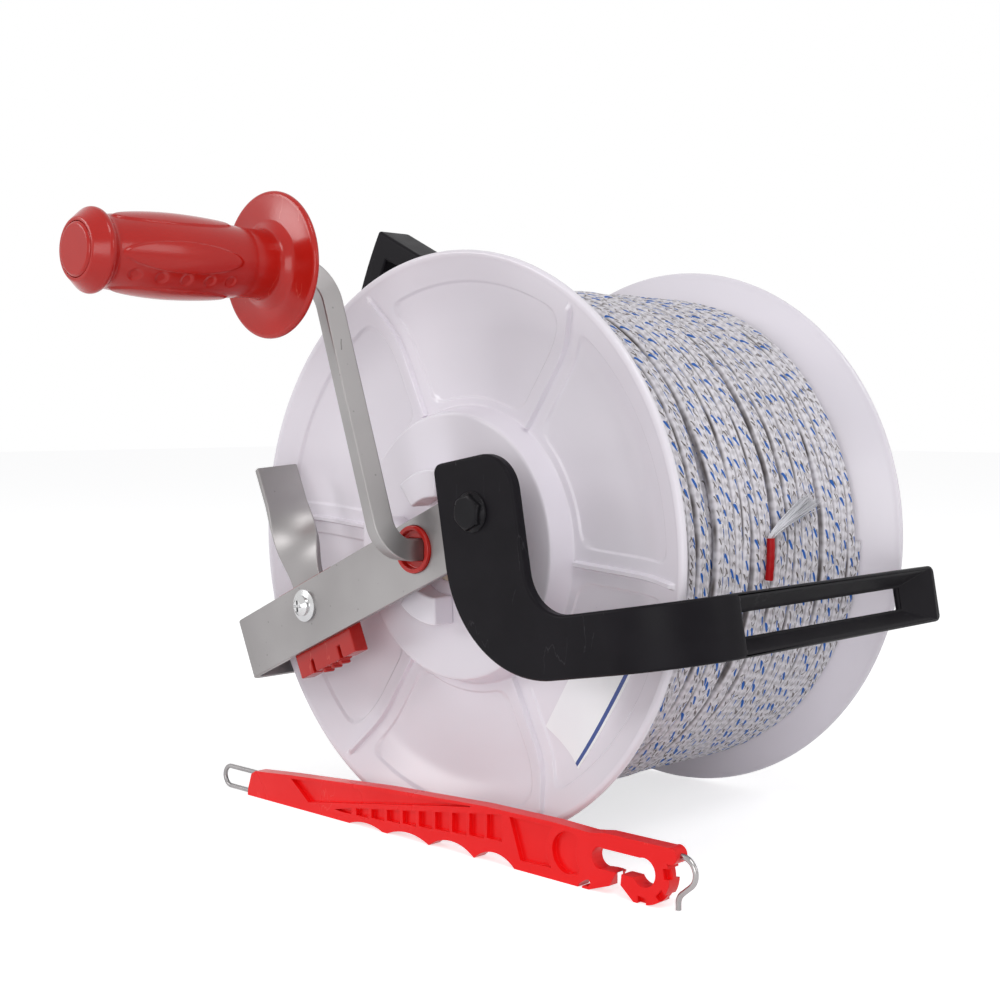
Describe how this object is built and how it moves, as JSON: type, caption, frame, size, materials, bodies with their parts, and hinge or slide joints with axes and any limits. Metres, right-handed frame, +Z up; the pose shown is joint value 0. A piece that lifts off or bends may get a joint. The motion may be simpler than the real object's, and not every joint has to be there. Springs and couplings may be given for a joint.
{
  "type": "electric fence reel",
  "caption": "Geared hand reel for electric fence line: flanged spool in a bent steel frame with crank, carry handle, sliding lock and a hooked gate handle.",
  "frame": {"origin": "on the floor under the middle of the whole object", "axes": "+Z up, the spool axis along Y, the crank and carry handle on the -Y side, the grip bar of the carry handle towards +X"},
  "size_m": [0.2902, 0.3446, 0.2721],
  "materials": {
    "white_plastic": "smooth moulded",
    "red_plastic": "smooth moulded",
    "bright_red_plastic": "smooth moulded",
    "black_plastic": "fine grain",
    "galvanised_steel": "dull zinc, rubbed",
    "plated_fastener": "bright zinc",
    "black_fastener": "black oxide",
    "bright_wire": "bright drawn wire",
    "gear_nylon": "moulded",
    "braided_line": "braided strands with blue tracer and wire",
    "red_tape": "woven tape"
  },
  "bodies": {
    "frame": {"frame_strap": "galvanised_steel", "carry_handle": "black_plastic", "handle_bolt": "black_fastener", "handle_nut": "plated_fastener", "side_hook": "black_plastic", "hook_bolt": "black_fastener", "hook_nut": "plated_fastener", "lock_screw": "plated_fastener", "lock_nut": "plated_fastener", "axle": "plated_fastener", "axle_spacer": "plated_fastener", "axle_nut": "plated_fastener", "ring_gear": "gear_nylon", "ring_screws": "plated_fastener"},
    "spool": {"front_flange": "white_plastic", "lock_lugs": "white_plastic", "rear_flange": "white_plastic", "drum": "white_plastic", "sun_gear": "gear_nylon", "rear_bearing": "red_plastic", "flange_screws": "plated_fastener", "winding_core": "braided_line", "winding_layer": "braided_line", "line_end": "red_tape"},
    "crank": {"crank_arm": "galvanised_steel", "drive_bush": "red_plastic", "planet_carrier": "gear_nylon", "planet_pins": "plated_fastener", "carrier_nut": "plated_fastener", "grip_retainer": "plated_fastener"},
    "hand_grip": {"grip": "red_plastic", "grip_plug": "red_plastic"},
    "planet_1": {"planet_gear_1": "gear_nylon"},
    "planet_2": {"planet_gear_2": "gear_nylon"},
    "planet_3": {"planet_gear_3": "gear_nylon"},
    "lock": {"lock_slider": "red_plastic", "thumb_strap": "galvanised_steel", "strap_rivets": "plated_fastener"},
    "gate": {"gate_handle": "bright_red_plastic", "gate_eye": "bright_wire", "gate_hook": "bright_wire"}
  },
  "joints": [
    {"name": "spool_spin", "type": "hinge", "parent": "frame", "child": "spool", "pos_m": [-0.00022, 0.06071, 0.125], "axis": [0, 1, 0], "continuous": true},
    {"name": "crank_turn", "type": "hinge", "parent": "frame", "child": "crank", "pos_m": [-0.00022, -0.0373, 0.125], "axis": [0, 1, 0], "continuous": true},
    {"name": "planet_1_spin", "type": "hinge", "parent": "crank", "child": "planet_1", "pos_m": [-0.01037, -0.00679, 0.15482], "axis": [0, 1, 0], "continuous": true},
    {"name": "planet_2_spin", "type": "hinge", "parent": "crank", "child": "planet_2", "pos_m": [-0.02097, -0.00679, 0.1013], "axis": [0, 1, 0], "continuous": true},
    {"name": "planet_3_spin", "type": "hinge", "parent": "crank", "child": "planet_3", "pos_m": [0.03068, -0.00679, 0.11888], "axis": [0, 1, 0], "continuous": true},
    {"name": "grip_spin", "type": "hinge", "parent": "crank", "child": "hand_grip", "pos_m": [-0.04002, -0.11929, 0.24191], "axis": [0, 1, 0], "continuous": true},
    {"name": "lock_slide", "type": "slide", "parent": "frame", "child": "lock", "axis": [0.9121, 0, 0.4099], "range_m": [0, 0.012]},
    {"name": "gate_draw", "type": "slide", "parent": "frame", "child": "gate", "axis": [0, -1, 0], "range_m": [0, 0.06]}
  ],
  "couplings": [
    {"joint": "crank_turn", "follows": "spool_spin", "ratio": 0.33333},
    {"joint": "planet_1_spin", "follows": "spool_spin", "ratio": -1.3333},
    {"joint": "planet_2_spin", "follows": "spool_spin", "ratio": -1.3333},
    {"joint": "planet_3_spin", "follows": "spool_spin", "ratio": -1.3333}
  ]
}
